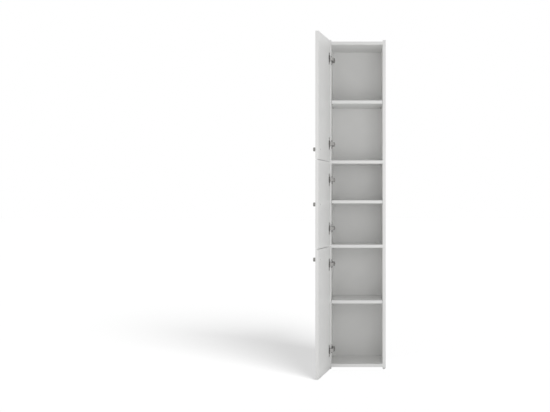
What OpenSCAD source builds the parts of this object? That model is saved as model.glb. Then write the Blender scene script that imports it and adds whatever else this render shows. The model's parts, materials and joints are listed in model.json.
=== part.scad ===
// Tall bathroom cabinet: an open-fronted column of six compartments behind three
// left-hung doors, built from coated board with knock-down fittings.
// The origin is on the wall plane, midway between the sides and level with their lower
// edges. X runs to the right, Y back into the wall and Z up.

/* [Carcass] */
// Width over the two side panels
body_w = 300; // [260:5:400]
// Height of the side panels
body_h = 1714; // [1650:2:1800]
// Depth of the side panels, without the back panel
side_d = 267; // [220:1:350]
// Thickness of the coated boards
board_t = 16; // [15:1:19]
// Thickness of the hardboard back panel
back_t = 3; // [2.5:0.5:4]
// Height of the bottom panel's underside above the sides' lower edges
bottom_lift = 5; // [2:1:40]
// Depth of the top panel's upper face below the sides' upper edges
top_drop = 7.5; // [2:0.5:20]
// How far the back panel stops short of each outer side face
back_inset = 1; // [0.5:0.5:3]

/* [Shelves] */
// Height of the middle of the fixed shelf between the upper and the middle door
upper_fixed_z = 1077; // [1050:1:1100]
// Height of the middle of the fixed shelf between the middle and the lower door
lower_fixed_z = 636.5; // [600:0.5:660]
// Height of the underside of the loose shelf behind the upper door
top_shelf_z = 1382.5; // [1330:0.5:1420]
// Height of the underside of the loose shelf behind the middle door
middle_shelf_z = 860.5; // [820:0.5:900]
// Height of the underside of the loose shelf behind the lower door
bottom_shelf_z = 337.5; // [290:0.5:380]
// Gap between each end of a loose shelf and the side panel
shelf_gap = 1.5; // [1.3:0.1:2.5]
// Gap between the back edge of a loose shelf and the back panel
shelf_back_gap = 2; // [1:0.5:10]

/* [Shelf pins] */
// Radius of the pin holes
pin_hole_r = 2.5; // [2:0.1:3]
// Depth of the pin holes
pin_hole_depth = 10; // [9:0.5:11]
// Height from one pin hole to the next
pin_pitch = 32; // [25:1:40]
// Pin holes above and below the one in use
pin_spare = 1; // [0:1:2]
// Distance of the pin rows from the sides' front and back edges
pin_row = 37; // [25:1:60]
// Length of a pin's peg under the shelf
peg_len = 7.5; // [6:0.5:12]
// Radius of a pin's collar
collar_r = 3.5; // [3.2:0.1:4.5]
// Thickness of a pin's collar
collar_t = 1; // [0.6:0.1:1.1]

/* [Doors] */
// Thickness of the doors
door_t = 16; // [15.5:0.5:19]
// Gap between a closed door and the sides' front edges
door_gap = 2; // [1:0.25:3]
// How far a closed door stops short of the carcass at each side
side_reveal = 1.5; // [0.5:0.25:3]
// How far the upper door stops below the sides' upper edges
top_reveal = 4.5; // [1:0.5:8]
// How far the lower door reaches below the sides' lower edges
bottom_lap = 2; // [0:0.5:3]
// Gap between one door and the next
door_split = 3; // [2:0.5:5]
// Angle at which the doors stand open
open_angle = 99.5; // [0:0.5:105]

/* [Hinges] */
// Distance of the highest and the lowest hinge's middle from the end of the door
end_hinge_inset = 97; // [70:1:120]
// Distance of the other hinges' middles from the ends of the doors
split_hinge_inset = 92; // [70:1:120]
// Radius of the hinge cup
cup_r = 17.5; // [17:0.1:18]
// Depth of the hinge cup in the door
cup_depth = 12.5; // [11.5:0.1:12.8]
// Board left between the cup and the door's edge
cup_edge = 5; // [4:0.5:7]
// Height of the flange on the cup
flange_h = 65; // [62:1:68]
// Thickness of the flange on the cup
flange_t = 1.2; // [0.8:0.1:1.5]
// Spacing of the two screws in the flange
cup_screw_pitch = 48; // [46:1:50]
// Offset of those screws from the cup's middle, away from the door's edge
cup_screw_offset = 6; // [4:0.5:8]
// Distance of the mounting plate's screws from the side's front edge
plate_row = 37; // [34:1:42]
// Spacing of the mounting plate's screws
plate_screw_pitch = 32; // [30:1:36]
// Height of the mounting plate over its wings
plate_h = 47; // [45:1:54]
// Height of the hinge arm over its two cheeks
arm_h = 20; // [19:0.5:22]
// How far the hinge arm stands off the side panel
arm_reach = 17; // [16:0.5:20]
// Distance from the side's front edge to the back end of the hinge arm
arm_end = 62; // [58:1:75]
// Thickness of the hinge's pressed steel
steel_t = 1.2; // [1:0.1:1.5]
// Radius of the hinge's pins
hinge_pin_r = 1.5; // [1.2:0.1:1.8]
// Distance of the door's turning axis from the door's edge
axis_side = 1.5; // [1.2:0.1:1.8]
// Depth of the door's turning axis behind the door's inner face
axis_in = 6.8; // [6.5:0.1:7.1]

/* [Knobs] */
// Radius of a knob
knob_r = 10; // [8:0.5:14]
// Thickness of a knob's head
knob_head = 10; // [7:0.5:14]
// Length of a knob's neck
knob_neck = 7; // [5:0.5:12]
// Radius of a knob's neck
knob_neck_r = 5; // [4.5:0.25:6.5]
// Distance of the knobs from the doors' free edges
knob_inset = 35; // [25:1:60]
// Height of the upper knob above the upper door's lower edge
upper_knob_lift = 50; // [30:1:120]
// Height of the middle knob above the middle door's lower edge
middle_knob_lift = 218; // [150:1:300]
// Depth of the lower knob below the lower door's upper edge
lower_knob_drop = 52; // [30:1:120]

/* [Fittings] */
// Distance of the cam fittings from the sides' front and back edges
cam_row = 37; // [30:1:60]
// Distance from the cams to the dowels beside them
dowel_step = 32; // [25:1:45]
// Radius of a cam disc
cam_r = 7.5; // [7:0.1:8]
// Distance of a cam's middle from the end of its board
cam_inset = 34; // [24:1:36]
// Radius of the wooden dowels
dowel_r = 4; // [3:0.25:4.5]
// Length of the wooden dowels
dowel_len = 30; // [25:1:35]
// Depth of the dowel holes in the side panels
dowel_depth = 12; // [10:0.5:13]
// Height of the floor glides
glide_h = 7; // [5:0.5:10]
// Radius of the floor glides
glide_r = 7; // [6:0.25:7.5]
// Distance of the glides from the sides' front and back edges
glide_inset = 30; // [15:1:60]
// Nails along each edge of the back panel
nails_per_side = 10; // [6:1:16]
// Distance of the nails into each board from the cabinet's middle
board_nail_x = 65; // [30:1:90]
// Width of the wall bracket
bracket_w = 25; // [20:1:40]
// Length of the bracket's leg on the top panel
bracket_foot = 36; // [32:1:50]
// Height of the bracket's upright leg
bracket_rise = 34; // [26:1:50]
// Thickness of the bracket
bracket_t = 2; // [1.5:0.25:3]
// Radius of the hole for the wall screw
wall_hole_r = 3; // [2.5:0.25:4]
// Height of the wall screw above the top panel
wall_hole_z = 22; // [16:1:26]

/* [Hidden] */
$fn = 48;
slim = 0.01;            // how far a cutting shape overshoots a face
play = 0.05;            // radial clearance of a screw, pin or nail in its hole
loose = 0.4;            // radial clearance of a screw that passes through a sheet
seat = 0.1;             // clearance round a cup, cam or dowel in its bore
leaf = 0.3;             // side clearance between hinge leaves
spare = 0.5;            // free depth of a hole beyond the end of what it holds

board_white = "white";
steel = "silver";
zinc = "gray";

front_y = -(side_d + back_t);
inner_w = body_w - 2*board_t;
half_in = inner_w/2;
side_mid = (body_w - board_t)/2;    // from the middle of the cabinet to the middle of a side
rear_y = -back_t;

// Undersides of the four boards that tie the sides together, from the top down, and the
// side on which their cams are let in: 1 for the upper face, -1 for the lower.
frame_boards = [
    [body_h - top_drop - board_t, 1],
    [upper_fixed_z - board_t/2, 1],
    [lower_fixed_z - board_t/2, -1],
    [bottom_lift, -1]
];
loose_shelves = [top_shelf_z, middle_shelf_z, bottom_shelf_z];
fitting_rows = [front_y + cam_row, rear_y - cam_row];
dowel_rows = [front_y + cam_row + dowel_step, rear_y - cam_row - dowel_step];
pin_rows = [front_y + pin_row, rear_y - pin_row];
glide_rows = [front_y + glide_inset, rear_y - glide_inset];
nail_end = 10;          // distance of the outermost nails from the top and bottom panels
low_nail = bottom_lift + board_t + nail_end;
high_nail = body_h - top_drop - board_t - nail_end;
nail_heights = [
    for (i = [0:nails_per_side - 1]) low_nail + (high_nail - low_nail)*i/(nails_per_side - 1)
];

// Lower and upper ends of the three doors, from the top down
doors = [
    [upper_fixed_z + door_split/2, body_h - top_reveal],
    [lower_fixed_z + door_split/2, upper_fixed_z - door_split/2],
    [-bottom_lap, lower_fixed_z - door_split/2]
];
knob_heights = [
    doors[0][0] + upper_knob_lift,
    doors[1][0] + middle_knob_lift,
    doors[2][1] - lower_knob_drop
];
knob_x = body_w - side_reveal - knob_inset;
door_w = body_w - 2*side_reveal;
// Heights of the six hinges, from the top down
hinge_zs = [
    doors[0][1] - end_hinge_inset, doors[0][0] + split_hinge_inset,
    doors[1][1] - split_hinge_inset, doors[1][0] + split_hinge_inset,
    doors[2][1] - split_hinge_inset, doors[2][0] + end_hinge_inset
];

// Hinge plan, measured from the carcass's front left corner with the door closed: the
// door's turning axis, the cup's middle, the cup's pin, the arm's pin and the elbow pin.
axis_p = [side_reveal + axis_side, -door_gap - axis_in];
cup_x = side_reveal + cup_edge + cup_r;
cup_wall = 1;
flange_rim = 2.5;       // width of the round part of the flange beyond the cup
flange_ear_r = 6.5;     // radius of the flange's ears
pin_bite = 0.3;         // how far the cup's pin sits in the cup's wall
cup_pin_out = 1;        // the cup's pin lies this far from the cup's middle, towards the edge
cup_pin_in = 3.1;       // and this deep in the door
arm_pin_off = 9;        // the arm's pin lies this far off the side panel's inner face
arm_pin_in = 9;         // and this far behind its front edge
cup_pin = [cup_x - cup_pin_out, -door_gap - cup_pin_in];
arm_pin = [board_t + arm_pin_off, arm_pin_in];
crank = cup_pin - axis_p;
elbow = arm_pin + crank;
strap = cup_pin - elbow;
eye_r = 3.4;            // radius of a rolled eye round a pin
ear_r = 4.8;            // radius of the arm's ears round its pin
web_gap = 2.4;          // gap between the crank's eye and the arm's web
strap_t = 2;            // thickness of the strap's cheeks
strap_web_t = 1.6;      // thickness of the web between them
strap_web_gap = 1.4;    // gap between that web and the eyes at its ends
bar_t = 3;              // thickness of the crank's tongue
// Half heights, from a hinge's middle: inner faces of the arm's cheeks, outer faces of
// the strap's cheeks, and the crank's tongue
cheek_z = arm_h/2 - steel_t;
strap_z = cheek_z - leaf;
tongue_z = strap_z - strap_t - leaf;

function turn(v, a) = [v[0]*cos(a) - v[1]*sin(a), v[0]*sin(a) + v[1]*cos(a)];

// Shapes that all screws and nails share
drive_w = 1;            // width of the arms of a cross recess
drive_arm = 0.55;       // length of those arms as a share of the head's radius
drive_deep = 0.6;       // depth of the recess as a share of the head's thickness
head_slope = 1/3;       // how far a screw's head narrows, as a share of its thickness
tip_len = 2;            // length of a point as a share of the shank's radius
tip_end = 0.25;         // radius of a point's end as a share of the shank's radius

// Sizes of each kind of fastener
small_screw_r = 1.75;
small_head_r = 3.5;
small_head_t = 1.6;
cup_screw_len = 13;
plate_screw_len = 12;
plate_wing_t = 3;
plate_wing_w = 15;
arm_screw_r = 2.5;
arm_head_r = 4;
arm_head_t = 1.5;
arm_screw_len = 6;
arm_screw_ys = [29, 51];
hub_start = 22;
hub_end = 58;
knob_screw_r = 2;
knob_screw_grip = 7;
knob_screw_head_r = 4;
knob_screw_head_t = 2.4;
knob_screw_slope = 1;   // how far the knob screw's head narrows
knob_rim = 1.2;         // rounding of the knob's rims
knob_foot = 1;          // width and height of the step at the foot of the neck
cam_cap = 0.6;          // metal between the bolt's bore and the cam's blind end
cam_roof = 1;           // metal between the bolt's bore and the drive recess
cam_slack = 1;          // room in the cam beyond the bolt's head
bolt_bore_r = 4;
bolt_head_r = 3.6;
bolt_head_t = 4;
bolt_waist_r = 2;
bolt_neck_r = 3;
bolt_neck_gap = 2;      // gap between the bolt's thick neck and the cam
bolt_flange_r = 3.8;
bolt_flange_t = 1.2;
bolt_thread_r = 2.5;
bolt_thread_len = 11;
cam_depth = board_t/2 + bolt_bore_r + cam_cap;
chamfer = 1;            // on the ends of the dowels and the feet of the glides
glide_pocket_r = 3;
glide_pocket = 2;
glide_nail_r = 1.2;
glide_nail_head_r = 2.4;
glide_nail_head_t = 1;
glide_nail_len = 16;
nail_r = 0.7;
nail_head_r = 2;
nail_head_t = 0.8;
nail_len = 18;
bracket_screw_len = 12;
bracket_holes = [14, 27];

// Cutting and building helpers

module in_x(x, y, z) { translate([x, y, z]) rotate([0, 90, 0]) children(); }
module out_x(x, y, z) { translate([x, y, z]) rotate([0, -90, 0]) children(); }
module in_y(x, y, z) { translate([x, y, z]) rotate([-90, 0, 0]) children(); }
module out_y(x, y, z) { translate([x, y, z]) rotate([90, 0, 0]) children(); }

module capsule(length, r) {
    circle(r);
    translate([length, 0]) circle(r);
    translate([0, -r]) square([length, 2*r]);
}

// Cross recess cut down from the top of a screw head at z = 0
module drive(r, depth) {
    arm = drive_arm*r;
    for (a = [0, 90]) rotate(a)
        translate([-arm, -drive_w/2, -depth]) cube([2*arm, drive_w, depth + slim]);
}

// Pointed shank from z = 0 up to its tip
module shank(r, len) {
    tip = tip_len*r;
    translate([0, 0, -slim]) cylinder(r = r, h = len - tip + slim);
    translate([0, 0, len - tip]) cylinder(r1 = r, r2 = tip_end*r, h = tip);
}

// Board screw with its head's underside at z = 0 and its shank pointing down
module board_screw(r, len, head_r, head_t) {
    difference() {
        union() {
            cylinder(r1 = head_r, r2 = head_r - head_slope*head_t, h = head_t);
            rotate([180, 0, 0]) shank(r, len);
        }
        translate([0, 0, head_t]) drive(head_r, drive_deep*head_t);
    }
}

// Hole from z = 0 upwards: a blind one, one right through a sheet, and one for a back nail
module hole(r, depth) { translate([0, 0, -slim]) cylinder(r = r, h = depth + slim); }
module through(r, t) { hole(r, t + slim); }
module nail_hole() { hole(nail_r + play, nail_len - back_t + spare); }

// Everything on a door is drawn as if the door were closed, then turned open with it

module on_door() {
    translate([-body_w/2 + axis_p[0], front_y + axis_p[1], 0])
        rotate(-open_angle)
            translate([-axis_p[0], -axis_p[1], 0]) children();
}

module on_carcass_corner() { translate([-body_w/2, front_y, 0]) children(); }

// Side panels

module side_bores(inward) {
    face = -inward*half_in;
    for (b = frame_boards) {
        z = b[0] + board_t/2;
        for (y = fitting_rows)
            translate([face, y, z]) rotate([0, -90*inward, 0])
                hole(bolt_thread_r, bolt_thread_len + spare);
        for (y = dowel_rows)
            translate([face, y, z]) rotate([0, -90*inward, 0]) hole(dowel_r, dowel_depth);
    }
    for (s = loose_shelves, y = pin_rows, step = [-pin_spare:pin_spare])
        translate([face, y, s - pin_hole_r + step*pin_pitch]) rotate([0, -90*inward, 0])
            hole(pin_hole_r, pin_hole_depth);
    for (y = glide_rows)
        translate([-inward*side_mid, y, 0])
            hole(glide_nail_r + play, glide_nail_len - glide_h + glide_pocket + spare);
    for (z = nail_heights) out_y(-inward*side_mid, rear_y, z) nail_hole();
}

module side_panel(inward) {
    difference() {
        translate([inward > 0 ? -body_w/2 : half_in, front_y, 0]) cube([board_t, side_d, body_h]);
        side_bores(inward);
    }
}

module left_side_panel() {
    color(board_white) difference() {
        side_panel(1);
        for (z = hinge_zs, side = [-1, 1])
            on_carcass_corner()
                out_x(board_t, plate_row, z + side*plate_screw_pitch/2)
                    hole(small_screw_r + play, plate_screw_len);
    }
}

module right_side_panel() { color(board_white) side_panel(-1); }

// Boards between the sides

module frame_board(i) {
    low = frame_boards[i][0];
    up = frame_boards[i][1];
    face = up > 0 ? low + board_t : low;
    color(board_white) difference() {
        translate([-half_in, front_y, low]) cube([inner_w, side_d, board_t]);
        for (end = [-1, 1]) {
            for (y = fitting_rows) {
                translate([end*(half_in - cam_inset), y, face])
                    rotate([up > 0 ? 180 : 0, 0, 0]) hole(cam_r, cam_depth);
                translate([end*half_in, y, low + board_t/2])
                    rotate([0, -90*end, 0]) hole(bolt_bore_r, cam_inset);
            }
            for (y = dowel_rows)
                translate([end*half_in, y, low + board_t/2])
                    rotate([0, -90*end, 0]) hole(dowel_r, dowel_len - dowel_depth + 2*spare);
            out_y(end*board_nail_x, rear_y, low + board_t/2) nail_hole();
        }
        if (i == 0)
            for (y = bracket_holes)
                translate([0, -y, face]) rotate([180, 0, 0])
                    hole(small_screw_r + play, bracket_screw_len - bracket_t + spare);
    }
}

module loose_shelf(i) {
    color(board_white)
        translate([-half_in + shelf_gap, front_y, loose_shelves[i]])
            cube([inner_w - 2*shelf_gap, side_d - shelf_back_gap, board_t]);
}

// Back panel and its nails, driven flush with the wall plane

module back_nail_places() {
    for (side = [-1, 1]) {
        for (z = nail_heights) out_y(side*side_mid, 0, z) children();
        for (b = frame_boards) out_y(side*board_nail_x, 0, b[0] + board_t/2) children();
    }
}

module back_panel() {
    color("whitesmoke") difference() {
        translate([-body_w/2 + back_inset, rear_y, 0])
            cube([body_w - 2*back_inset, back_t, body_h - top_drop]);
        back_nail_places() {
            through(nail_r + play, back_t);
            hole(nail_head_r + play, nail_head_t);
        }
    }
}

module back_panel_nails() {
    color(steel) back_nail_places() {
        cylinder(r = nail_head_r, h = nail_head_t);
        translate([0, 0, nail_head_t]) shank(nail_r, nail_len - nail_head_t);
    }
}

// Knock-down fittings

module fitting_places() {
    for (b = frame_boards, end = [-1, 1], y = fitting_rows)
        translate([end*half_in, y, b[0] + board_t/2]) rotate([0, -90*end, 0]) children();
}

// A connecting bolt, with z = 0 on the side panel's inner face and its head inwards
module cam_bolts() {
    color(steel) fitting_places() {
        translate([0, 0, -bolt_thread_len])
            cylinder(r = bolt_thread_r - play, h = bolt_thread_len + slim);
        cylinder(r = bolt_flange_r, h = bolt_flange_t);
        cylinder(r = bolt_waist_r, h = cam_inset);
        cylinder(r = bolt_neck_r, h = cam_inset - cam_r - bolt_neck_gap);
        translate([0, 0, cam_inset - bolt_head_t/2]) cylinder(r = bolt_head_r, h = bolt_head_t);
    }
}

// A cam turns in its bore to draw the bolt's head in, and its mouth faces that bolt
module cam_discs() {
    color(zinc) for (b = frame_boards, end = [-1, 1], y = fitting_rows) {
        up = b[1] > 0;
        translate([end*(half_in - cam_inset), y, up ? b[0] + board_t : b[0]])
            rotate([up ? 180 : 0, 0, 90 - end*90]) difference() {
                cylinder(r = cam_r - seat, h = cam_depth - seat);
                translate([-bolt_head_t/2 - cam_slack, 0, board_t/2]) rotate([0, 90, 0])
                    cylinder(r = bolt_bore_r, h = cam_r + bolt_head_t);
                rotate([180, 0, 0]) drive(cam_r, board_t/2 - bolt_bore_r - cam_roof);
            }
    }
}

module wooden_dowels() {
    r = dowel_r - seat;
    color("burlywood") for (b = frame_boards, end = [-1, 1], y = dowel_rows)
        translate([end*half_in, y, b[0] + board_t/2]) rotate([0, -90*end, 0])
            translate([0, 0, -dowel_depth + spare]) {
                cylinder(r1 = r - chamfer, r2 = r, h = chamfer);
                translate([0, 0, chamfer]) cylinder(r = r, h = dowel_len - 2*chamfer);
                translate([0, 0, dowel_len - chamfer]) cylinder(r1 = r, r2 = r - chamfer, h = chamfer);
            }
}

module shelf_pins() {
    color(steel) for (s = loose_shelves, end = [-1, 1], y = pin_rows)
        translate([end*half_in, y, s - pin_hole_r]) rotate([0, -90*end, 0]) {
            translate([0, 0, -pin_hole_depth + spare])
                cylinder(r = pin_hole_r - play, h = pin_hole_depth - spare + peg_len);
            cylinder(r = collar_r, h = collar_t);
        }
}

module floor_glides() {
    color("gainsboro") for (side = [-1, 1], y = glide_rows)
        translate([side*side_mid, y, -glide_h]) difference() {
            union() {
                cylinder(r1 = glide_r - chamfer, r2 = glide_r, h = chamfer);
                translate([0, 0, chamfer]) cylinder(r = glide_r, h = glide_h - chamfer);
            }
            through(glide_nail_r + play, glide_h);
            hole(glide_pocket_r, glide_pocket);
        }
}

module glide_nails() {
    color(steel) for (side = [-1, 1], y = glide_rows)
        translate([side*side_mid, y, -glide_h + glide_pocket]) {
            translate([0, 0, -glide_nail_head_t]) cylinder(r = glide_nail_head_r, h = glide_nail_head_t);
            shank(glide_nail_r, glide_nail_len);
        }
}

// Wall bracket on the top panel, with its upright leg on the wall plane

module wall_bracket() {
    base = body_h - top_drop;
    color(steel) difference() {
        union() {
            translate([-bracket_w/2, -bracket_foot, base]) cube([bracket_w, bracket_foot, bracket_t]);
            translate([-bracket_w/2, -bracket_t, base]) cube([bracket_w, bracket_t, bracket_rise]);
        }
        for (y = bracket_holes) translate([0, -y, base]) through(small_screw_r + loose, bracket_t);
        out_y(0, 0, base + wall_hole_z) through(wall_hole_r, bracket_t);
    }
}

module bracket_screws() {
    color(steel) for (y = bracket_holes)
        translate([0, -y, body_h - top_drop + bracket_t])
            board_screw(small_screw_r, bracket_screw_len, small_head_r, small_head_t);
}

// Hinges: the parts on the side panel

module mounting_plate(i) {
    wing_r = plate_wing_w/2;
    hub_z = cheek_z - leaf;
    top = arm_reach - steel_t;
    color(steel) on_carcass_corner() in_x(board_t, 0, hinge_zs[i]) difference() {
        union() {
            linear_extrude(plate_wing_t)
                translate([-(plate_h/2 - wing_r), plate_row]) capsule(plate_h - 2*wing_r, wing_r);
            translate([-hub_z, hub_start, 0]) cube([2*hub_z, hub_end - hub_start, top]);
        }
        for (side = [-1, 1])
            translate([side*plate_screw_pitch/2, plate_row, 0])
                through(small_screw_r + play, plate_wing_t);
        for (y = arm_screw_ys)
            translate([0, y, top]) rotate([180, 0, 0]) hole(arm_screw_r + play, arm_screw_len);
    }
}

module plate_screws() {
    color(steel) on_carcass_corner()
        for (z = hinge_zs, side = [-1, 1])
            in_x(board_t + plate_wing_t, plate_row, z + side*plate_screw_pitch/2)
                board_screw(small_screw_r, plate_screw_len, small_head_r, small_head_t);
}

// The arm is a channel that straddles the plate's hub, with two ears that hold a pin
module hinge_arm(i) {
    outer = board_t + arm_reach;
    inner = board_t + plate_wing_t + leaf;
    web_start = arm_pin[1] + eye_r + web_gap;
    color(steel) on_carcass_corner() translate([0, 0, hinge_zs[i]]) {
        for (side = [-1, 1])
            translate([0, 0, side > 0 ? cheek_z : -arm_h/2]) linear_extrude(steel_t) {
                translate([inner, web_start]) square([outer - inner, arm_end - web_start]);
                translate(arm_pin) circle(ear_r);
                translate([arm_pin[0] - ear_r, arm_pin[1]]) square([2*ear_r, web_start - arm_pin[1] + slim]);
            }
        difference() {
            translate([outer - steel_t, web_start, -arm_h/2])
                cube([steel_t, arm_end - web_start, arm_h]);
            for (y = arm_screw_ys)
                in_x(outer - steel_t, y, 0) through(arm_screw_r + loose, steel_t);
        }
        translate([arm_pin[0], arm_pin[1], -arm_h/2]) cylinder(r = hinge_pin_r, h = arm_h);
    }
}

module arm_screws() {
    color(steel) on_carcass_corner()
        for (z = hinge_zs, y = arm_screw_ys)
            in_x(board_t + arm_reach, y, z)
                board_screw(arm_screw_r, arm_screw_len, arm_head_r, arm_head_t);
}

// Hinges: the two moving links. The crank turns with the door and the strap keeps its
// direction, so that crank, strap and the line from the axis to the cup's pin stay a
// parallelogram.

module hinge_cranks(first) {
    length = norm(crank);
    color(steel) on_carcass_corner()
        for (i = [first, first + 1])
            translate([arm_pin[0], arm_pin[1], hinge_zs[i]])
                rotate(atan2(crank[1], crank[0]) - open_angle) difference() {
                    union() {
                        translate([0, 0, -strap_z]) cylinder(r = eye_r, h = 2*strap_z);
                        translate([length, 0, -tongue_z]) cylinder(r = eye_r, h = 2*tongue_z);
                        translate([0, -bar_t/2, -tongue_z]) cube([length, bar_t, 2*tongue_z]);
                    }
                    for (x = [0, length])
                        translate([x, 0, -strap_z]) through(hinge_pin_r + play, 2*strap_z);
                }
}

module hinge_straps(first) {
    length = norm(strap);
    web_start = eye_r + strap_web_gap;
    place = arm_pin + turn(crank, -open_angle);
    color(steel) on_carcass_corner()
        for (i = [first, first + 1])
            translate([place[0], place[1], hinge_zs[i]]) rotate(atan2(strap[1], strap[0])) {
                for (side = [-1, 1])
                    translate([0, 0, side > 0 ? strap_z - strap_t : -strap_z])
                        linear_extrude(strap_t) difference() {
                            capsule(length, eye_r);
                            translate([length, 0]) circle(hinge_pin_r + leaf);
                        }
                translate([web_start, eye_r - strap_web_t, -strap_z])
                    cube([length - 2*web_start, strap_web_t, 2*strap_z]);
                translate([0, 0, -strap_z]) cylinder(r = hinge_pin_r, h = 2*strap_z);
            }
}

// Hinges: the parts on the doors

module hinge_cup(i) {
    inner_r = cup_r - seat - cup_wall;
    // The pin is a chord across the cup, and its ends sit in the cup's wall
    pin_half = sqrt(inner_r*inner_r - cup_pin_out*cup_pin_out) + pin_bite;
    color(steel) on_door() translate([0, 0, hinge_zs[i]]) {
        difference() {
            union() {
                in_y(cup_x, -door_gap, 0) linear_extrude(flange_t) {
                    circle(cup_r + flange_rim);
                    translate([cup_screw_offset, 0]) rotate(90)
                        translate([-(flange_h/2 - flange_ear_r), 0])
                            capsule(flange_h - 2*flange_ear_r, flange_ear_r);
                }
                out_y(cup_x, -door_gap + slim, 0) cylinder(r = cup_r - seat, h = cup_depth + slim);
            }
            out_y(cup_x, -door_gap + flange_t, 0) hole(inner_r, cup_depth + flange_t - cup_wall);
            for (side = [-1, 1])
                in_y(cup_x + cup_screw_offset, -door_gap, side*cup_screw_pitch/2)
                    through(small_screw_r + play, flange_t);
        }
        translate([cup_pin[0], cup_pin[1], -pin_half]) cylinder(r = hinge_pin_r, h = 2*pin_half);
    }
}

module cup_screws(first) {
    color(steel) on_door()
        for (i = [first, first + 1], side = [-1, 1])
            in_y(cup_x + cup_screw_offset, -door_gap + flange_t, hinge_zs[i] + side*cup_screw_pitch/2)
                board_screw(small_screw_r, cup_screw_len, small_head_r, small_head_t);
}

// Doors

module door(d) {
    low = doors[d][0];
    color(board_white) on_door() difference() {
        translate([side_reveal, -door_gap - door_t, low]) cube([door_w, door_t, doors[d][1] - low]);
        for (i = [2*d, 2*d + 1]) {
            out_y(cup_x, -door_gap, hinge_zs[i]) hole(cup_r, cup_depth + seat);
            for (side = [-1, 1])
                out_y(cup_x + cup_screw_offset, -door_gap, hinge_zs[i] + side*cup_screw_pitch/2)
                    hole(small_screw_r + play, cup_screw_len - flange_t + spare);
        }
        out_y(knob_x, -door_gap, knob_heights[d]) through(knob_screw_r + play, door_t);
    }
}

// A round knob with a waisted neck and rounded rims, on its screw
module knob(d) {
    flat_r = knob_r - knob_rim;
    total = knob_neck + knob_head;
    color("darkgray") on_door()
        out_y(knob_x, -door_gap - door_t, knob_heights[d]) difference() {
            rotate_extrude() {
                square([knob_neck_r + knob_foot, knob_foot]);
                square([knob_neck_r, knob_neck + slim]);
                translate([0, knob_neck]) square([flat_r, knob_head]);
                translate([0, knob_neck + knob_rim]) square([knob_r, knob_head - 2*knob_rim]);
                for (y = [knob_neck + knob_rim, total - knob_rim])
                    translate([flat_r, y]) circle(knob_rim);
            }
            hole(knob_screw_r + play, knob_screw_grip + spare);
        }
}

module knob_screw(d) {
    len = door_t + knob_screw_grip;
    head_r = knob_screw_head_r;
    color(steel) on_door() in_y(knob_x, -door_gap, knob_heights[d]) difference() {
        union() {
            cylinder(r1 = head_r, r2 = head_r - knob_screw_slope, h = knob_screw_head_t);
            translate([0, 0, -len]) cylinder(r = knob_screw_r, h = len + slim);
        }
        translate([0, 0, knob_screw_head_t]) drive(head_r, drive_deep*knob_screw_head_t);
    }
}

left_side_panel();
right_side_panel();
frame_board(0);  // top_panel
frame_board(1);  // upper_fixed_shelf
frame_board(2);  // lower_fixed_shelf
frame_board(3);  // bottom_panel
loose_shelf(0);  // top_loose_shelf
loose_shelf(1);  // middle_loose_shelf
loose_shelf(2);  // bottom_loose_shelf
back_panel();
back_panel_nails();
cam_bolts();
cam_discs();
wooden_dowels();
shelf_pins();
floor_glides();
glide_nails();
wall_bracket();
bracket_screws();
mounting_plate(0);  // mounting_plate_1
mounting_plate(1);  // mounting_plate_2
mounting_plate(2);  // mounting_plate_3
mounting_plate(3);  // mounting_plate_4
mounting_plate(4);  // mounting_plate_5
mounting_plate(5);  // mounting_plate_6
plate_screws();
hinge_arm(0);  // hinge_arm_1
hinge_arm(1);  // hinge_arm_2
hinge_arm(2);  // hinge_arm_3
hinge_arm(3);  // hinge_arm_4
hinge_arm(4);  // hinge_arm_5
hinge_arm(5);  // hinge_arm_6
arm_screws();
hinge_cranks(0);  // upper_hinge_cranks
hinge_cranks(2);  // middle_hinge_cranks
hinge_cranks(4);  // lower_hinge_cranks
hinge_straps(0);  // upper_hinge_straps
hinge_straps(2);  // middle_hinge_straps
hinge_straps(4);  // lower_hinge_straps
hinge_cup(0);  // hinge_cup_1
hinge_cup(1);  // hinge_cup_2
hinge_cup(2);  // hinge_cup_3
hinge_cup(3);  // hinge_cup_4
hinge_cup(4);  // hinge_cup_5
hinge_cup(5);  // hinge_cup_6
cup_screws(0);  // upper_cup_screws
cup_screws(2);  // middle_cup_screws
cup_screws(4);  // lower_cup_screws
door(0);  // upper_door
door(1);  // middle_door
door(2);  // lower_door
knob(0);  // upper_knob
knob(1);  // middle_knob
knob(2);  // lower_knob
knob_screw(0);  // upper_knob_screw
knob_screw(1);  // middle_knob_screw
knob_screw(2);  // lower_knob_screw
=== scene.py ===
"""Looks of a tall white cabinet with three left-hung doors that stand open."""

import json
import math

import bmesh
import bpy
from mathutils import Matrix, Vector


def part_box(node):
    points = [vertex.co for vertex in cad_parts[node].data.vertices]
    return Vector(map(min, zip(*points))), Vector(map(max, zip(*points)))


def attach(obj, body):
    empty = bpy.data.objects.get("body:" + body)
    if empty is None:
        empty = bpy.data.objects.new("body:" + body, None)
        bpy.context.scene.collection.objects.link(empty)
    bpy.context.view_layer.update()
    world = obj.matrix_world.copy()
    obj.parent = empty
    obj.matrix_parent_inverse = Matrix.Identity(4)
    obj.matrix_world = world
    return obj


MM = 0.001
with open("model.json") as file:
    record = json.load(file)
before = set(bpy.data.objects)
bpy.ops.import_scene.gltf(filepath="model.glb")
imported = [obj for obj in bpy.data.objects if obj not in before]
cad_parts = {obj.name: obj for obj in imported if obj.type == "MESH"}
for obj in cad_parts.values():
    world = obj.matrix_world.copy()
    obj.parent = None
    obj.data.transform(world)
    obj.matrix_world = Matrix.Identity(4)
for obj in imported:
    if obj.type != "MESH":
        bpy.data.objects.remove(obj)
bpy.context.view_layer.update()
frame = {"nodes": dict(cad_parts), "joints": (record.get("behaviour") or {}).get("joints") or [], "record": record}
nodes = frame["nodes"]
front_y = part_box("left_side_panel")[0].y
floor_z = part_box("floor_glides")[0].z

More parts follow.
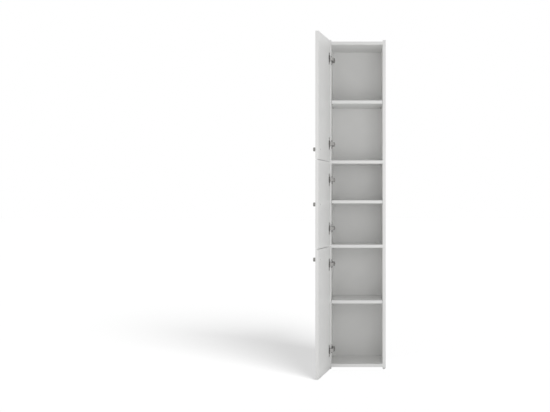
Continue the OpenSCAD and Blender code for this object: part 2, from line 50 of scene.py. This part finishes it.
# Camera, worked out from the photograph: its frame, the pixel at which lines into the
# depth meet, the focal length in pixels, and where the lens stood
PHOTO_W, PHOTO_H = 550, 412
VANISHING_X, VANISHING_Y = 357, 201
FOCAL_PX = 947
LENS_TO_FRONT = 4.95
LENS_HEIGHT = 0.873
SENSOR = 36.0


def make_camera():
    data = bpy.data.cameras.new("camera")
    data.sensor_width = SENSOR
    data.lens = FOCAL_PX/PHOTO_W*SENSOR
    data.shift_x = (PHOTO_W/2 - VANISHING_X)/PHOTO_W
    data.shift_y = (VANISHING_Y - PHOTO_H/2)/PHOTO_W
    data.clip_start, data.clip_end = 0.1, 100
    camera = bpy.data.objects.new("camera", data)
    camera.location = (0, front_y - LENS_TO_FRONT, LENS_HEIGHT)
    camera.rotation_euler = (math.pi/2, 0, 0)
    bpy.context.scene.collection.objects.link(camera)
    bpy.context.scene.camera = camera


# Node helpers


class Tree:
    """A node tree with short calls for adding and joining nodes."""

    def __init__(self, owner):
        owner.use_nodes = True
        self.tree = owner.node_tree
        self.tree.nodes.clear()

    def add(self, kind, inputs=(), **settings):
        """Adds a node, sets its settings, and gives its inputs values or links."""
        node = self.tree.nodes.new(kind)
        for name, value in settings.items():
            setattr(node, name, value)
        for key, value in dict(inputs).items():
            if isinstance(value, bpy.types.NodeSocket):
                self.tree.links.new(value, node.inputs[key])
            else:
                node.inputs[key].default_value = value
        return node

    def math(self, operation, *values):
        return self.add("ShaderNodeMath", enumerate(values), operation=operation).outputs[0]

    def noise(self, scale, detail, roughness=0.5, vector=None):
        """Noise with so many waves to a metre."""
        inputs = {"Vector": vector or self.place(), "Scale": scale, "Detail": detail, "Roughness": roughness}
        return self.add("ShaderNodeTexNoise", inputs).outputs[0]

    def place(self):
        """Where the shaded point lies on the piece at rest, in metres."""
        return self.add("ShaderNodeTexCoord").outputs["Object"]

    def along(self, direction):
        """Distance of the shaded point along a direction."""
        inputs = {0: self.place(), 1: tuple(direction)}
        return self.add("ShaderNodeVectorMath", inputs, operation="DOT_PRODUCT").outputs["Value"]

    def spread(self, value, low=0, high=1):
        """Maps a noise's middle range to low..high."""
        inputs = {"Value": value, "From Min": 0.3, "From Max": 0.7, "To Min": low, "To Max": high}
        return self.add("ShaderNodeMapRange", inputs).outputs[0]

    def blend(self, share, first, second):
        """Colour that goes from first to second."""
        return self.add("ShaderNodeMix", {0: share, 6: first, 7: second}, data_type="RGBA").outputs[2]

    def bump(self, height, distance, strength):
        inputs = {"Height": height, "Distance": distance, "Strength": strength}
        return self.add("ShaderNodeBump", inputs).outputs[0]

    def surface(self, inputs):
        shader = self.add("ShaderNodeBsdfPrincipled", inputs)
        self.finish(shader.outputs[0])

    def finish(self, shader):
        output = self.add("ShaderNodeOutputMaterial")
        self.tree.links.new(shader, output.inputs[0])


def grey(value):
    return (value, value, value, 1)


# Light: an even white surround, a glow from the white floor, a weak soft lamp in front that
# lights the object alone, and a sun that lights the floor alone and throws the object's long
# pale shadow there
SURROUND = 0.50
LAMP_AT = (0.35, -2.0, 1.1)
LAMP_AIM = (0, -0.2, 1.3)
LAMP_SIZE = 0.9
LAMP_POWER = 4.6
SUN_TURN = 29                  # degrees to the right of the front
SUN_HEIGHT = 41                # degrees above the floor
SUN_WIDTH = 28                 # degrees across
SUN_STRENGTH = 7.5


def make_world():
    world = bpy.data.worlds.new("surround")
    bpy.context.scene.world = world
    tree = Tree(world)
    light = tree.add("ShaderNodeBackground", {"Color": grey(1), "Strength": SURROUND})
    shown = tree.add("ShaderNodeBackground", {"Color": grey(1), "Strength": 1.0})
    path = tree.add("ShaderNodeLightPath").outputs
    reflected = tree.math("MAXIMUM", path["Is Glossy Ray"], path["Is Transmission Ray"])
    seen = tree.math("MAXIMUM", path["Is Camera Ray"], reflected)
    mix = tree.add("ShaderNodeMixShader", {0: seen, 1: light.outputs[0], 2: shown.outputs[0]})
    output = tree.add("ShaderNodeOutputWorld")
    tree.tree.links.new(mix.outputs[0], output.inputs[0])


def add_light(data, floor, share):
    """Adds a light that takes the floor as all it lights, or as all it leaves dark."""
    light = bpy.data.objects.new(data.name, data)
    light.visible_camera = False
    bpy.context.scene.collection.objects.link(light)
    linked = bpy.data.collections.new(data.name)
    linked.objects.link(floor)
    linked.collection_objects[0].light_linking.link_state = share
    light.light_linking.receiver_collection = linked
    return light


def make_floor_sun(floor):
    data = bpy.data.lights.new("floor_sun", "SUN")
    data.angle = math.radians(SUN_WIDTH)
    data.energy = SUN_STRENGTH
    sun = add_light(data, floor, "INCLUDE")
    sun.rotation_euler = (math.radians(90 - SUN_HEIGHT), 0, math.radians(SUN_TURN))


def make_object_lamp(floor):
    data = bpy.data.lights.new("object_lamp", "AREA")
    data.size = LAMP_SIZE
    data.energy = LAMP_POWER
    lamp = add_light(data, floor, "EXCLUDE")
    lamp.location = LAMP_AT
    lamp.rotation_euler = (Vector(LAMP_AIM) - Vector(LAMP_AT)).to_track_quat("-Z", "Y").to_euler()


FLOOR_ALBEDO = 0.21
FLOOR_GLOW = 0.57
UNDER_PAINTED_LIGHT = 0.38              # painted light added where the floor shows in the gap under the bottom panel, taking away the shadow there
UNDER_DEPTH = 80*MM            # how far back that is
COVER_REACH = 90*MM            # how near the object takes light from the floor
FLOOR_HALF = 40


def under_front_painted_light(tree):
    """One where a point of the floor lies under the front of the bottom panel, elsewhere 0: the patch that gets
    painted light.
    """
    low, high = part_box("bottom_panel")
    inside = 1
    for direction, start, end in (((1, 0, 0), low.x, high.x), ((0, 1, 0), low.y, low.y + UNDER_DEPTH)):
        offset = tree.math("ABSOLUTE", tree.math("SUBTRACT", tree.along(direction), (start + end)/2))
        inside = tree.math("MULTIPLY", inside, tree.math("LESS_THAN", offset, (end - start)/2))
    return inside


def covered(tree):
    """Share of its light that the floor loses close to the object. The camera sees none of
    the loss, only what the floor lights."""
    uncovered = tree.add("ShaderNodeAmbientOcclusion", {"Distance": COVER_REACH}).outputs["AO"]
    unseen = tree.math("SUBTRACT", 1, tree.add("ShaderNodeLightPath").outputs["Is Camera Ray"])
    return tree.math("MULTIPLY", tree.math("SUBTRACT", 1, uncovered), unseen)


def make_floor():
    mesh = bpy.data.meshes.new("floor")
    corners = [(x*FLOOR_HALF, y*FLOOR_HALF, floor_z) for x, y in ((-1, -1), (1, -1), (1, 1), (-1, 1))]
    mesh.from_pydata(corners, [], [(0, 1, 2, 3)])
    floor = bpy.data.objects.new("floor", mesh)
    bpy.context.scene.collection.objects.link(floor)
    material = bpy.data.materials.new("floor")
    tree = Tree(material)
    matt = tree.add("ShaderNodeBsdfDiffuse", {"Color": grey(FLOOR_ALBEDO)})
    # An even glow over the whole floor, plus painted light on the patch under the bottom panel's front
    strength = tree.math("MULTIPLY_ADD", under_front_painted_light(tree), UNDER_PAINTED_LIGHT, FLOOR_GLOW)
    glow = tree.add("ShaderNodeEmission", {"Color": grey(1), "Strength": strength})
    both = tree.add("ShaderNodeAddShader", {0: matt.outputs[0], 1: glow.outputs[0]})
    dimmed = tree.add("ShaderNodeMixShader", {0: covered(tree), 1: both.outputs[0]})
    tree.finish(dimmed.outputs[0])
    mesh.materials.append(material)
    return floor


# Materials

WHITE = (0.84, 0.84, 0.83)
BAND = 1.0*MM                  # thickness of the edge banding
BAND_SHARE = 0.955             # its lightness as a share of the face's
SEAM = 0.12*MM                 # half width of the line where the banding meets the face
SEAM_TONE = 0.55               # lightness of the glue in it as a share of the face's
SEAM_SHARE = 0.35              # how much of the line the glue fills
BOARD_EDGE = 0.4*MM            # rounding of the boards' edges
FITTING_EDGE = 0.12*MM         # rounding of the fittings' edges
EDGE_SEGMENTS = 2
EDGE_ANGLE = 40                # degrees from which an edge counts as sharp
LACQUER = 0.15*MM              # how far the lacquer reaches into the back panel
DOORS = ("upper", "middle", "lower")


def tint(colour, share):
    return tuple(c*share for c in colour) + (1,)


def extent(node, direction):
    """Lowest and highest point of a node along a direction."""
    reach = [v.co.dot(direction) for v in nodes[node].data.vertices]
    return min(reach), max(reach)


def coated_board(name, seams):
    """White melamine with a fine orange-peel texture and slightly darker edge banding, with
    a hairline at its seam. A seam is the banding's outward direction and a distance along it."""
    material = bpy.data.materials.new(name)
    tree = Tree(material)
    cloud = tree.spread(tree.noise(scale=7, detail=3))
    colour = tree.blend(cloud, tint(WHITE, 0.985), tint(WHITE, 1.015))
    for outward, distance in seams:
        offset = tree.math("SUBTRACT", tree.along(outward), distance)
        band = tree.math("GREATER_THAN", offset, 0)
        colour = tree.blend(band, colour, tint(WHITE, BAND_SHARE))
        line = tree.math("LESS_THAN", tree.math("ABSOLUTE", offset), SEAM)
        colour = tree.blend(tree.math("MULTIPLY", line, SEAM_SHARE), colour, tint(WHITE, SEAM_TONE))
    peel = tree.noise(scale=650, detail=2)
    tree.surface({
        "Base Color": colour,
        "Roughness": tree.spread(tree.noise(scale=40, detail=4), low=0.36, high=0.46),
        "Specular IOR Level": 0.45,
        "Normal": tree.bump(peel, distance=0.02*MM, strength=0.6),
    })
    return material


def hardboard():
    """Back panel: white lacquer towards the shelves, raw brown fibre board behind."""
    material = bpy.data.materials.new("hardboard")
    tree = Tree(material)
    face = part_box("back_panel")[0].y
    raw = tree.math("GREATER_THAN", tree.along((0, 1, 0)), face + LACQUER)
    stretched = tree.add("ShaderNodeMapping", {"Vector": tree.place(), "Scale": (1, 1, 0.35)})
    fibre = tree.noise(scale=420, detail=6, roughness=0.7, vector=stretched.outputs[0])
    brown = tree.blend(tree.spread(fibre), (0.20, 0.115, 0.060, 1), (0.31, 0.195, 0.110, 1))
    cloud = tree.spread(tree.noise(scale=9, detail=3))
    lacquer = tree.blend(cloud, tint(WHITE, 0.97), tint(WHITE, 1.0))
    depth = tree.math("MULTIPLY_ADD", raw, 0.8, 0.2)
    height = tree.math("MULTIPLY", tree.noise(scale=500, detail=4), depth)
    tree.surface({
        "Base Color": tree.blend(raw, lacquer, brown),
        "Roughness": tree.math("MULTIPLY_ADD", raw, 0.4, 0.42),
        "Normal": tree.bump(height, distance=0.05*MM, strength=0.5),
    })
    return material


def metal(name, colour, roughness, grain):
    """Bare or plated metal with slightly uneven polish, and a fine grain on its surface."""
    material = bpy.data.materials.new(name)
    tree = Tree(material)
    patches = tree.spread(tree.noise(scale=90, detail=3))
    polish = tree.noise(scale=300, detail=4)
    tree.surface({
        "Base Color": tree.blend(patches, tint(colour, 0.9), tint(colour, 1.08)),
        "Metallic": 1.0,
        "Roughness": tree.spread(polish, roughness - 0.06, roughness + 0.06),
        "Normal": tree.bump(tree.noise(grain, detail=3), distance=0.02*MM, strength=0.4),
    })
    return material


def plastic(name, colour):
    material = bpy.data.materials.new(name)
    tree = Tree(material)
    cloud = tree.spread(tree.noise(scale=60, detail=2))
    tree.surface({
        "Base Color": tree.blend(cloud, tint(colour, 0.97), tint(colour, 1.02)),
        "Roughness": 0.5,
        "Normal": tree.bump(tree.noise(scale=1500, detail=2), distance=0.03*MM, strength=0.4),
    })
    return material


def beech():
    """Pale wood with its grain along X, as in the dowels."""
    material = bpy.data.materials.new("beech")
    tree = Tree(material)
    grain = tree.add("ShaderNodeMapping", {"Vector": tree.place(), "Scale": (0.08, 1, 1)})
    streak = tree.spread(tree.noise(scale=900, detail=4, roughness=0.6, vector=grain.outputs[0]))
    tree.surface({
        "Base Color": tree.blend(streak, (0.45, 0.29, 0.16, 1), (0.62, 0.43, 0.26, 1)),
        "Roughness": 0.65,
        "Normal": tree.bump(streak, distance=0.05*MM, strength=0.5),
    })
    return material


def dress(node, material, edge):
    """Gives a node its material, and rounds its sharp edges by a small width."""
    piece = nodes[node]
    piece.data.materials.clear()
    piece.data.materials.append(material)
    bevel = piece.modifiers.new("edge", "BEVEL")
    bevel.width = edge
    bevel.segments = EDGE_SEGMENTS
    bevel.limit_method = "ANGLE"
    bevel.angle_limit = math.radians(EDGE_ANGLE)
    bevel.harden_normals = True


def door_frame(name):
    """Directions along an open door's inner face, from its hinged edge to its free edge, and
    out of that face."""
    hinge = next(j for j in frame["joints"] if j["name"] == f"{name}_door_hinge")
    opened = math.radians(hinge["range_deg"][0])
    return (Vector((math.cos(opened), math.sin(opened), 0)),
            Vector((-math.sin(opened), math.cos(opened), 0)))


def dress_boards():
    """Front edges of the carcass are banded, and the doors all round."""
    carcass = coated_board("melamine", [(Vector((0, -1, 0)), -front_y - BAND)])
    for row in frame["record"]["subparts"]:
        if row["material_slot"] == "board" and "door" not in row["node"]:
            dress(row["node"], carcass, BOARD_EDGE)
    for name in DOORS:
        node = f"{name}_door"
        seams = []
        for direction in (door_frame(name)[0], Vector((0, 0, 1))):
            for outward in (direction, -direction):
                seams.append((outward, extent(node, outward)[1] - BAND))
        dress(node, coated_board(f"{name}_melamine", seams), BOARD_EDGE)


def dress_fittings():
    """Hinges and their screws are darker than the pins and nails that share their slot, as painted shade for their
    gaps, and their pressed cups and links are lighter than their arms and plates, as painted light against the
    shade in their hollows."""
    # Painted shade: the hinge steel is darker than plated steel really is, and stands for the shade in the hinges'
    # gaps
    painted_shade_steel = metal("nickel_plate_painted_shade", (0.23, 0.225, 0.22), roughness=0.32, grain=700)
    painted_shade_words = ("hinge", "mounting_plate", "plate_screws", "arm_screws", "cup_screws")
    # Painted light: the cups and links are a lighter copy of the same steel, against the shade that falls in their
    # hollows
    painted_light_steel = metal("nickel_plate_painted_light", (0.40, 0.395, 0.385), roughness=0.36, grain=700)
    painted_light_words = ("hinge_cup", "cranks", "straps")
    by_slot = {
        "back": hardboard(),
        "steel": metal("zinc_plate", (0.62, 0.62, 0.61), roughness=0.30, grain=900),
        "zinc": metal("zinc", (0.36, 0.36, 0.37), roughness=0.45, grain=900),
        "knob": metal("satin_nickel", (0.30, 0.295, 0.285), roughness=0.36, grain=1200),
        "glide": plastic("glide_plastic", (0.74, 0.74, 0.72)),
        "dowel": beech(),
    }
    for row in frame["record"]["subparts"]:
        node, slot = row["node"], row["material_slot"]
        if any(word in node for word in painted_light_words):
            dress(node, painted_light_steel, FITTING_EDGE)
        elif any(word in node for word in painted_shade_words):
            dress(node, painted_shade_steel, FITTING_EDGE)
        elif slot in by_slot:
            dress(node, by_slot[slot], FITTING_EDGE)
    return painted_shade_steel, painted_light_steel


# Pressed and riveted details of the hinges

RIVET_R = 2.4*MM
RIVET_H = 0.6*MM
RIB_HALF = 4*MM
RIB_R = 3*MM
RIB_H = 0.6*MM
RIB_BACK = 40*MM               # distance of a rib's middle behind the front edges
SINK = 0.2*MM                  # how far a raised form reaches into what carries it
RING_STEPS = 32
RINGS = 6
# The closing spring's course in its cup, in mm: along the door from the cup's middle, and deep
SPRING_PATH = ((13, 3.5), (12.6, 7.5), (10.5, 10.2), (6, 10.9),
               (2.5, 10.3), (-1, 9.0), (-4.5, 10.0), (-7.5, 10.9))
SPRING_HALF_WIDTH = 4.5*MM
SPRING_T = 0.5*MM
SPRING_STEPS = 5


def new_piece(name, bm, material, body):
    """Makes a smooth steel piece that rides on a body."""
    bmesh.ops.recalc_face_normals(bm, faces=bm.faces)
    mesh = bpy.data.meshes.new(name)
    bm.to_mesh(mesh)
    bm.free()
    mesh.materials.append(material)
    for polygon in mesh.polygons:
        polygon.use_smooth = True
    piece = bpy.data.objects.new(name, mesh)
    bpy.context.scene.collection.objects.link(piece)
    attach(piece, body)


def join_rings(bm, rings):
    """Skins rings of vertices and closes the first and the last."""
    for low, high in zip(rings, rings[1:]):
        for i in range(len(low)):
            bm.faces.new((low[i - 1], low[i], high[i], high[i - 1]))
    bm.faces.new(reversed(rings[0]))
    bm.faces.new(rings[-1])


def add_boss(bm, place, along, out, half, radius, height):
    """Adds a rounded head to a flat face, or a rib where its half length is above nothing."""
    across = out.cross(along)
    rings = []
    for k in range(-1, RINGS):
        turn = max(k, 0)/RINGS*math.pi/2
        rise = height*math.sin(turn) if k >= 0 else -SINK
        reach = radius*math.cos(turn)
        ring = []
        for i in range(RING_STEPS):
            angle = 2*math.pi*(i + 0.5)/RING_STEPS
            end = math.copysign(half, math.cos(angle))
            spot = along*(end + reach*math.cos(angle)) + across*reach*math.sin(angle) + out*rise
            ring.append(bm.verts.new(place + spot))
        rings.append(ring)
    join_rings(bm, rings)


def smooth_path(points, steps):
    """Points on a Catmull-Rom curve through the given points."""
    points = [Vector(p) for p in points]
    ends = [2*points[0] - points[1]] + points + [2*points[-1] - points[-2]]
    path = []
    for a, b, c, d in zip(ends, ends[1:], ends[2:], ends[3:]):
        for i in range(steps):
            t = i/steps
            path.append((2*b + (c - a)*t + (2*a - 5*b + 4*c - d)*t*t + (3*b - a - 3*c + d)*t*t*t)/2)
    return path + [points[-1]]


def add_spring(bm, origin, along, out):
    """Adds a bent leaf whose course lies below a door's inner face."""
    up = Vector((0, 0, 1))
    path = [origin + along*p.x*MM - out*p.y*MM for p in smooth_path(SPRING_PATH, SPRING_STEPS)]
    rings = []
    for i, spot in enumerate(path):
        course = (path[min(i + 1, len(path) - 1)] - path[max(i - 1, 0)]).normalized()
        side = course.cross(up)*SPRING_T/2
        width = up*SPRING_HALF_WIDTH
        corners = (spot + side + width, spot - side + width, spot - side - width, spot + side - width)
        rings.append([bm.verts.new(corner) for corner in corners])
    join_rings(bm, rings)


def middle(node):
    low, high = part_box(node)
    return (low + high)/2


def detail_hinges(painted_shade_arm_steel, painted_light_link_steel):
    """Rivet heads on the arms and the straps, a pressed rib on each arm, and a leaf spring
    in each cup."""
    up = Vector((0, 0, 1))
    back = Vector((0, 1, 0))
    right = Vector((1, 0, 0))
    pivots = {joint["name"]: Vector(joint["pos_m"]) for joint in frame["joints"]}
    on_arms = bmesh.new()
    for d, name in enumerate(DOORS):
        on_straps, in_cups = bmesh.new(), bmesh.new()
        numbers = (2*d + 1, 2*d + 2)
        strap_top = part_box(f"{name}_hinge_straps")[1].z - middle(f"hinge_arm_{numbers[0]}").z
        along, out = door_frame(name)
        for n in numbers:
            arm = f"hinge_arm_{n}"
            height = middle(arm).z
            arm_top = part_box(arm)[1].z - height
            for bm, joint, reach in ((on_arms, "crank", arm_top), (on_straps, "elbow", strap_top)):
                pin = pivots[f"{name}_{joint}_pivot"]
                for side in (-1, 1):
                    head = Vector((pin.x, pin.y, height + side*reach))
                    add_boss(bm, head, back, up*side, 0, RIVET_R, RIVET_H)
            rib = Vector((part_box(arm)[1].x, front_y + RIB_BACK, height))
            add_boss(on_arms, rib, back, right, RIB_HALF, RIB_R, RIB_H)
            low, high = extent(f"hinge_cup_{n}", along)
            face = extent(f"{name}_door", out)[1]
            add_spring(in_cups, along*(low + high)/2 + out*face + up*height, along, out)
        # Strap rivets take the steel with painted light; arm details and cup springs take the steel with painted
        # shade
        new_piece(f"{name}_strap_rivets", on_straps, painted_light_link_steel, f"{name}_straps")
        new_piece(f"{name}_cup_springs", in_cups, painted_shade_arm_steel, f"{name}_door")
    new_piece("arm_details", on_arms, painted_shade_arm_steel, "carcass")


bpy.context.scene.view_settings.view_transform = "Standard"
make_camera()
make_world()
floor = make_floor()
make_floor_sun(floor)
make_object_lamp(floor)
dress_boards()
detail_hinges(*dress_fittings())
